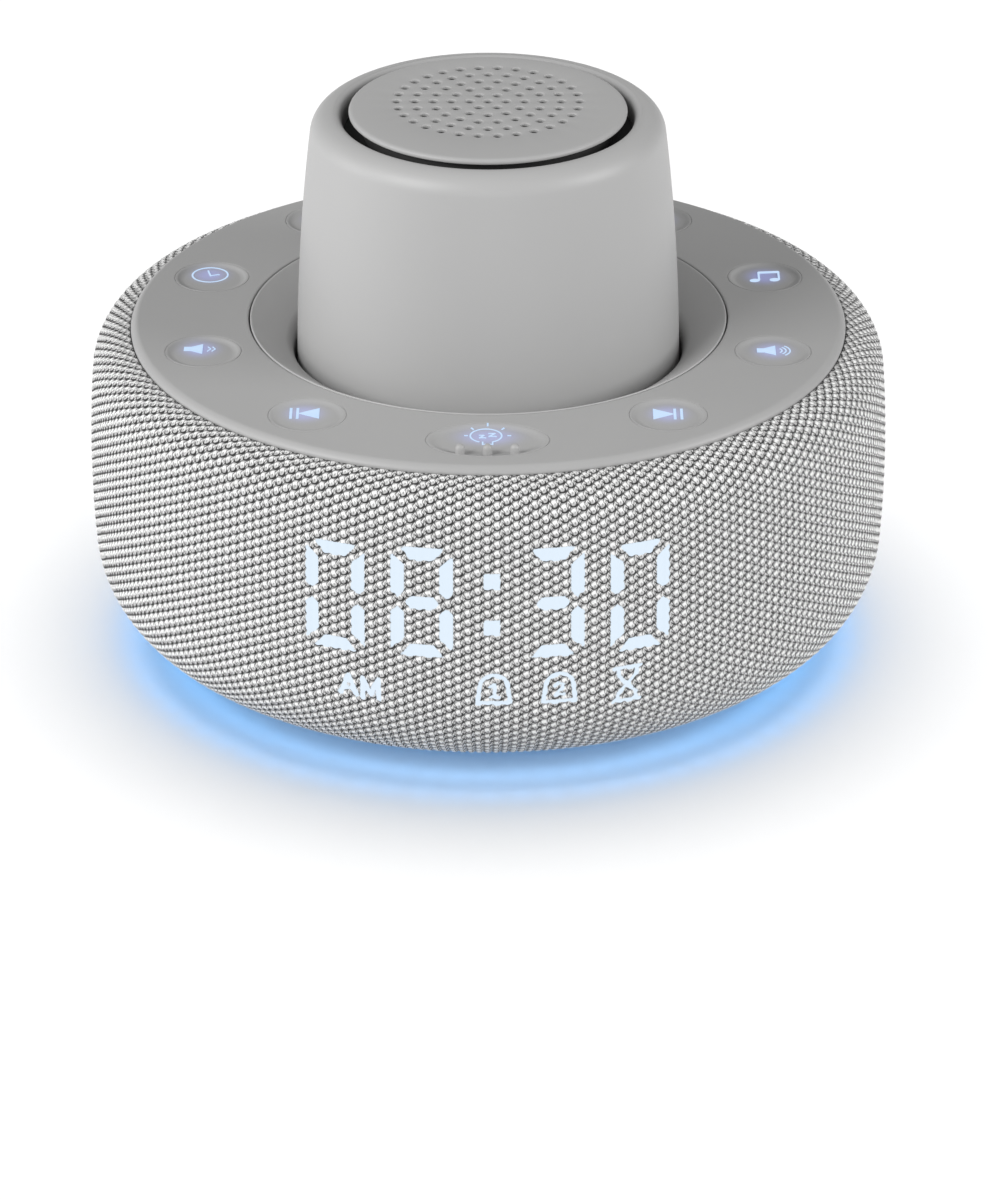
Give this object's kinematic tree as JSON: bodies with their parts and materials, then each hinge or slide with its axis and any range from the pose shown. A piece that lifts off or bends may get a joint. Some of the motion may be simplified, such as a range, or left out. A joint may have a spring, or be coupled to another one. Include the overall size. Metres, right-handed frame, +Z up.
{
  "type": "white noise sound machine",
  "caption": "Round fabric-covered bedside sound machine with a clock display, a ring of dished keys and a small speaker that lifts out of its dock well.",
  "frame": {"origin": "middle of the base on the table it stands on", "axes": "+Z up; the clock display faces -Y, +X to the right of a person who reads it"},
  "size_m": [0.16, 0.16, 0.1138],
  "materials": {
    "knit_grey": "heathered light grey knit, matte",
    "frame_black": "moulded, matte",
    "panel_grey": "fine satin",
    "key_grey": "fine satin, printed symbols lit from below",
    "well_grey": "fine satin",
    "speaker_grey": "fine satin",
    "grille_grey": "powder coat",
    "glow_blue": "translucent, lit",
    "rubber_dark": "matte",
    "rubber_grey": "matte",
    "board_green": "solder mask",
    "board_white": "white solder mask",
    "chip_black": "moulded",
    "steel": "plated",
    "gold": "gold flash",
    "lamp_white": "clear lens, lit",
    "film_smoke": "translucent film",
    "reflector_white": "white, reflective",
    "cone_black": "coated pulp",
    "cell_wrap": "shrink wrap"
  },
  "bodies": {
    "base": {"fabric_sleeve": "knit_grey", "outer_frame": "frame_black", "top_panel": "panel_grey", "dock_well": "well_grey", "bottom_cover": "frame_black", "rubber_feet": "rubber_dark", "cover_screws": "steel", "light_diffuser": "glow_blue", "light_board": "board_white", "light_leds": "lamp_white", "main_board": "board_green", "board_chips": "chip_black", "contact_board": "board_green", "dock_contacts": "gold", "control_board": "board_green", "tact_switches": "chip_black", "key_lamps": "lamp_white", "display_reflector": "reflector_white", "display_film": "film_smoke", "display_board": "board_green", "display_lamps": "lamp_white", "port_bezel": "frame_black", "inlet_board": "board_green", "power_inlet": "steel"},
    "speaker": {"speaker_shell": "speaker_grey", "speaker_bottom_cap": "speaker_grey", "speaker_grille": "grille_grey", "groove_gasket": "rubber_dark", "speaker_foot": "rubber_dark", "speaker_screws": "steel", "charge_contacts": "gold", "driver_frame": "steel", "driver_magnet": "steel", "driver_surround": "rubber_dark", "driver_cone": "cone_black", "driver_dust_cap": "cone_black", "speaker_battery": "cell_wrap", "speaker_board": "board_green", "speaker_control_pad": "rubber_grey"},
    "speaker_power_key": {"speaker_power_key": "rubber_grey"},
    "key_light": {"key_light": "key_grey"},
    "key_next": {"key_next": "key_grey"},
    "key_volume_up": {"key_volume_up": "key_grey"},
    "key_sound": {"key_sound": "key_grey"},
    "key_alarm_2": {"key_alarm_2": "key_grey"},
    "key_timer": {"key_timer": "key_grey"},
    "key_alarm_1": {"key_alarm_1": "key_grey"},
    "key_clock": {"key_clock": "key_grey"},
    "key_volume_down": {"key_volume_down": "key_grey"},
    "key_previous": {"key_previous": "key_grey"}
  },
  "joints": [
    {"name": "speaker_lift", "type": "slide", "parent": "base", "child": "speaker", "axis": [0, 0, 1], "range_m": [0, 0.06]},
    {"name": "power_key_press", "type": "slide", "parent": "speaker", "child": "speaker_power_key", "axis": [0, -1, 0], "range_m": [0, 0.0004], "stiffness_N_per_m": 1200},
    {"name": "light_press", "type": "slide", "parent": "base", "child": "key_light", "axis": [0, 0, -1], "range_m": [0, 0.0005], "stiffness_N_per_m": 1200},
    {"name": "next_press", "type": "slide", "parent": "base", "child": "key_next", "axis": [0, 0, -1], "range_m": [0, 0.0005], "stiffness_N_per_m": 1200},
    {"name": "volume_up_press", "type": "slide", "parent": "base", "child": "key_volume_up", "axis": [0, 0, -1], "range_m": [0, 0.0005], "stiffness_N_per_m": 1200},
    {"name": "sound_press", "type": "slide", "parent": "base", "child": "key_sound", "axis": [0, 0, -1], "range_m": [0, 0.0005], "stiffness_N_per_m": 1200},
    {"name": "alarm_2_press", "type": "slide", "parent": "base", "child": "key_alarm_2", "axis": [0, 0, -1], "range_m": [0, 0.0005], "stiffness_N_per_m": 1200},
    {"name": "timer_press", "type": "slide", "parent": "base", "child": "key_timer", "axis": [0, 0, -1], "range_m": [0, 0.0005], "stiffness_N_per_m": 1200},
    {"name": "alarm_1_press", "type": "slide", "parent": "base", "child": "key_alarm_1", "axis": [0, 0, -1], "range_m": [0, 0.0005], "stiffness_N_per_m": 1200},
    {"name": "clock_press", "type": "slide", "parent": "base", "child": "key_clock", "axis": [0, 0, -1], "range_m": [0, 0.0005], "stiffness_N_per_m": 1200},
    {"name": "volume_down_press", "type": "slide", "parent": "base", "child": "key_volume_down", "axis": [0, 0, -1], "range_m": [0, 0.0005], "stiffness_N_per_m": 1200},
    {"name": "previous_press", "type": "slide", "parent": "base", "child": "key_previous", "axis": [0, 0, -1], "range_m": [0, 0.0005], "stiffness_N_per_m": 1200}
  ]
}
